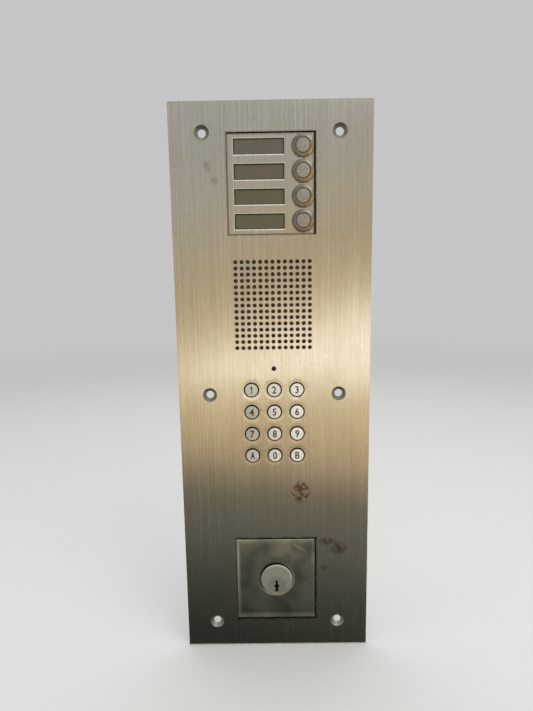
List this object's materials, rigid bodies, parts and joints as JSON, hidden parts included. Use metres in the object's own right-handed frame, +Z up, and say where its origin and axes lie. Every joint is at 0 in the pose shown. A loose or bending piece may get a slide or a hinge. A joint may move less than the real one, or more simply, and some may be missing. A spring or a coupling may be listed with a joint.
{
  "type": "door entry panel",
  "caption": "Wall-mounted steel door-entry intercom panel with name windows, call buttons, a perforated loudspeaker grille, a keypad and a round key lock, with its modules behind.",
  "frame": {"origin": "centre of the six fixing holes, on the front plate's back face, where it meets the wall", "axes": "+X to the right as seen from the street, +Z up, -Y out of the wall towards the street"},
  "size_m": [0.16, 0.0437, 0.465],
  "materials": {
    "plate_steel": "brushed up and down, dulled by weather",
    "lock_plate_steel": "brushed, with a polished raised border",
    "satin_nickel": "satin",
    "lock_brass": "nickel-plated, worn",
    "smoked_lens": "clear with an olive smoke tint",
    "card": "blank card",
    "white_moulding": "moulded",
    "lamp_glass": "clear bulb",
    "contact_brass": "sprung sheet",
    "zinc_sheet": "zinc-plated sheet",
    "zinc_fixing": "zinc-plated, turned",
    "spring_steel": "drawn wire",
    "black_moulding": "moulded",
    "dust_cloth": "fine open weave",
    "foam": "closed-cell foam",
    "basket_steel": "black lacquer",
    "cone_paper": "pressed pulp",
    "ferrite": "pressed ferrite",
    "black_rubber": "moulded",
    "capsule_can": "drawn can",
    "grey_rubber": "moulded silicone",
    "circuit_board": "green lacquer",
    "housing_zinc": "die-cast",
    "terminal_green": "moulded",
    "capacitor_sleeve": "shrunk sleeve",
    "trimmer_blue": "moulded"
  },
  "bodies": {
    "panel": {"front_plate": "plate_steel", "call_panel": "plate_steel", "lock_plate": "lock_plate_steel", "button_bezels": "satin_nickel", "lock_cylinder": "lock_brass", "name_lenses": "smoked_lens", "name_cards": "card", "lamp_housing": "white_moulding", "name_lamps": "lamp_glass", "lamp_contacts": "contact_brass", "switch_terminals": "contact_brass", "call_carrier": "zinc_sheet", "lock_carrier": "zinc_sheet", "speaker_clips": "zinc_sheet", "microphone_strap": "zinc_sheet", "switch_bracket": "zinc_sheet", "button_nuts": "zinc_fixing", "lock_nut": "zinc_fixing", "weld_studs": "zinc_fixing", "pillars": "zinc_fixing", "button_springs": "spring_steel", "button_switches": "black_moulding", "keypad_frame": "black_moulding", "keypad_header": "black_moulding", "key_switch": "black_moulding", "relay": "black_moulding", "speaker_mesh": "dust_cloth", "speaker_gasket": "foam", "speaker_basket": "basket_steel", "speaker_cone": "cone_paper", "speaker_magnet": "ferrite", "microphone_boot": "black_rubber", "microphone_capsule": "capsule_can", "keypad_mat": "grey_rubber", "keypad_board": "circuit_board", "control_board": "circuit_board", "lock_housing": "housing_zinc", "terminal_block": "terminal_green", "capacitors": "capacitor_sleeve", "level_trimmers": "trimmer_blue"},
    "call_button_1": {"call_button_1": "satin_nickel"},
    "call_button_2": {"call_button_2": "satin_nickel"},
    "call_button_3": {"call_button_3": "satin_nickel"},
    "call_button_4": {"call_button_4": "satin_nickel"},
    "key_1": {"key_1": "satin_nickel"},
    "key_2": {"key_2": "satin_nickel"},
    "key_3": {"key_3": "satin_nickel"},
    "key_4": {"key_4": "satin_nickel"},
    "key_5": {"key_5": "satin_nickel"},
    "key_6": {"key_6": "satin_nickel"},
    "key_7": {"key_7": "satin_nickel"},
    "key_8": {"key_8": "satin_nickel"},
    "key_9": {"key_9": "satin_nickel"},
    "key_a": {"key_a": "satin_nickel"},
    "key_0": {"key_0": "satin_nickel"},
    "key_b": {"key_b": "satin_nickel"},
    "plug": {"lock_plug": "lock_brass", "lock_cam": "zinc_fixing"},
    "plunger": {"switch_plunger": "zinc_fixing"}
  },
  "joints": [
    {"name": "call_button_1_press", "type": "slide", "parent": "panel", "child": "call_button_1", "axis": [0, 1, 0], "range_m": [0, 0.0016], "stiffness_N_per_m": 400, "springref_m": -0.003, "deforming": ["button_springs"]},
    {"name": "call_button_2_press", "type": "slide", "parent": "panel", "child": "call_button_2", "axis": [0, 1, 0], "range_m": [0, 0.0016], "stiffness_N_per_m": 400, "springref_m": -0.003, "deforming": ["button_springs"]},
    {"name": "call_button_3_press", "type": "slide", "parent": "panel", "child": "call_button_3", "axis": [0, 1, 0], "range_m": [0, 0.0016], "stiffness_N_per_m": 400, "springref_m": -0.003, "deforming": ["button_springs"]},
    {"name": "call_button_4_press", "type": "slide", "parent": "panel", "child": "call_button_4", "axis": [0, 1, 0], "range_m": [0, 0.0016], "stiffness_N_per_m": 400, "springref_m": -0.003, "deforming": ["button_springs"]},
    {"name": "key_1_press", "type": "slide", "parent": "panel", "child": "key_1", "axis": [0, 1, 0], "range_m": [0, 0.0012], "stiffness_N_per_m": 1200, "springref_m": -0.0005, "deforming": ["keypad_mat"]},
    {"name": "key_2_press", "type": "slide", "parent": "panel", "child": "key_2", "axis": [0, 1, 0], "range_m": [0, 0.0012], "stiffness_N_per_m": 1200, "springref_m": -0.0005, "deforming": ["keypad_mat"]},
    {"name": "key_3_press", "type": "slide", "parent": "panel", "child": "key_3", "axis": [0, 1, 0], "range_m": [0, 0.0012], "stiffness_N_per_m": 1200, "springref_m": -0.0005, "deforming": ["keypad_mat"]},
    {"name": "key_4_press", "type": "slide", "parent": "panel", "child": "key_4", "axis": [0, 1, 0], "range_m": [0, 0.0012], "stiffness_N_per_m": 1200, "springref_m": -0.0005, "deforming": ["keypad_mat"]},
    {"name": "key_5_press", "type": "slide", "parent": "panel", "child": "key_5", "axis": [0, 1, 0], "range_m": [0, 0.0012], "stiffness_N_per_m": 1200, "springref_m": -0.0005, "deforming": ["keypad_mat"]},
    {"name": "key_6_press", "type": "slide", "parent": "panel", "child": "key_6", "axis": [0, 1, 0], "range_m": [0, 0.0012], "stiffness_N_per_m": 1200, "springref_m": -0.0005, "deforming": ["keypad_mat"]},
    {"name": "key_7_press", "type": "slide", "parent": "panel", "child": "key_7", "axis": [0, 1, 0], "range_m": [0, 0.0012], "stiffness_N_per_m": 1200, "springref_m": -0.0005, "deforming": ["keypad_mat"]},
    {"name": "key_8_press", "type": "slide", "parent": "panel", "child": "key_8", "axis": [0, 1, 0], "range_m": [0, 0.0012], "stiffness_N_per_m": 1200, "springref_m": -0.0005, "deforming": ["keypad_mat"]},
    {"name": "key_9_press", "type": "slide", "parent": "panel", "child": "key_9", "axis": [0, 1, 0], "range_m": [0, 0.0012], "stiffness_N_per_m": 1200, "springref_m": -0.0005, "deforming": ["keypad_mat"]},
    {"name": "key_a_press", "type": "slide", "parent": "panel", "child": "key_a", "axis": [0, 1, 0], "range_m": [0, 0.0012], "stiffness_N_per_m": 1200, "springref_m": -0.0005, "deforming": ["keypad_mat"]},
    {"name": "key_0_press", "type": "slide", "parent": "panel", "child": "key_0", "axis": [0, 1, 0], "range_m": [0, 0.0012], "stiffness_N_per_m": 1200, "springref_m": -0.0005, "deforming": ["keypad_mat"]},
    {"name": "key_b_press", "type": "slide", "parent": "panel", "child": "key_b", "axis": [0, 1, 0], "range_m": [0, 0.0012], "stiffness_N_per_m": 1200, "springref_m": -0.0005, "deforming": ["keypad_mat"]},
    {"name": "key_turn", "type": "hinge", "parent": "panel", "child": "plug", "pos_m": [0, 0, -0.1749], "axis": [0, 1, 0], "range_deg": [0, 90]},
    {"name": "plunger_lift", "type": "slide", "parent": "panel", "child": "plunger", "axis": [0, 0, 1], "range_m": [0, 0.0025]}
  ],
  "couplings": [
    {"joint": "plunger_lift", "follows": "key_turn", "m_per_rad": 0.0015915}
  ]
}
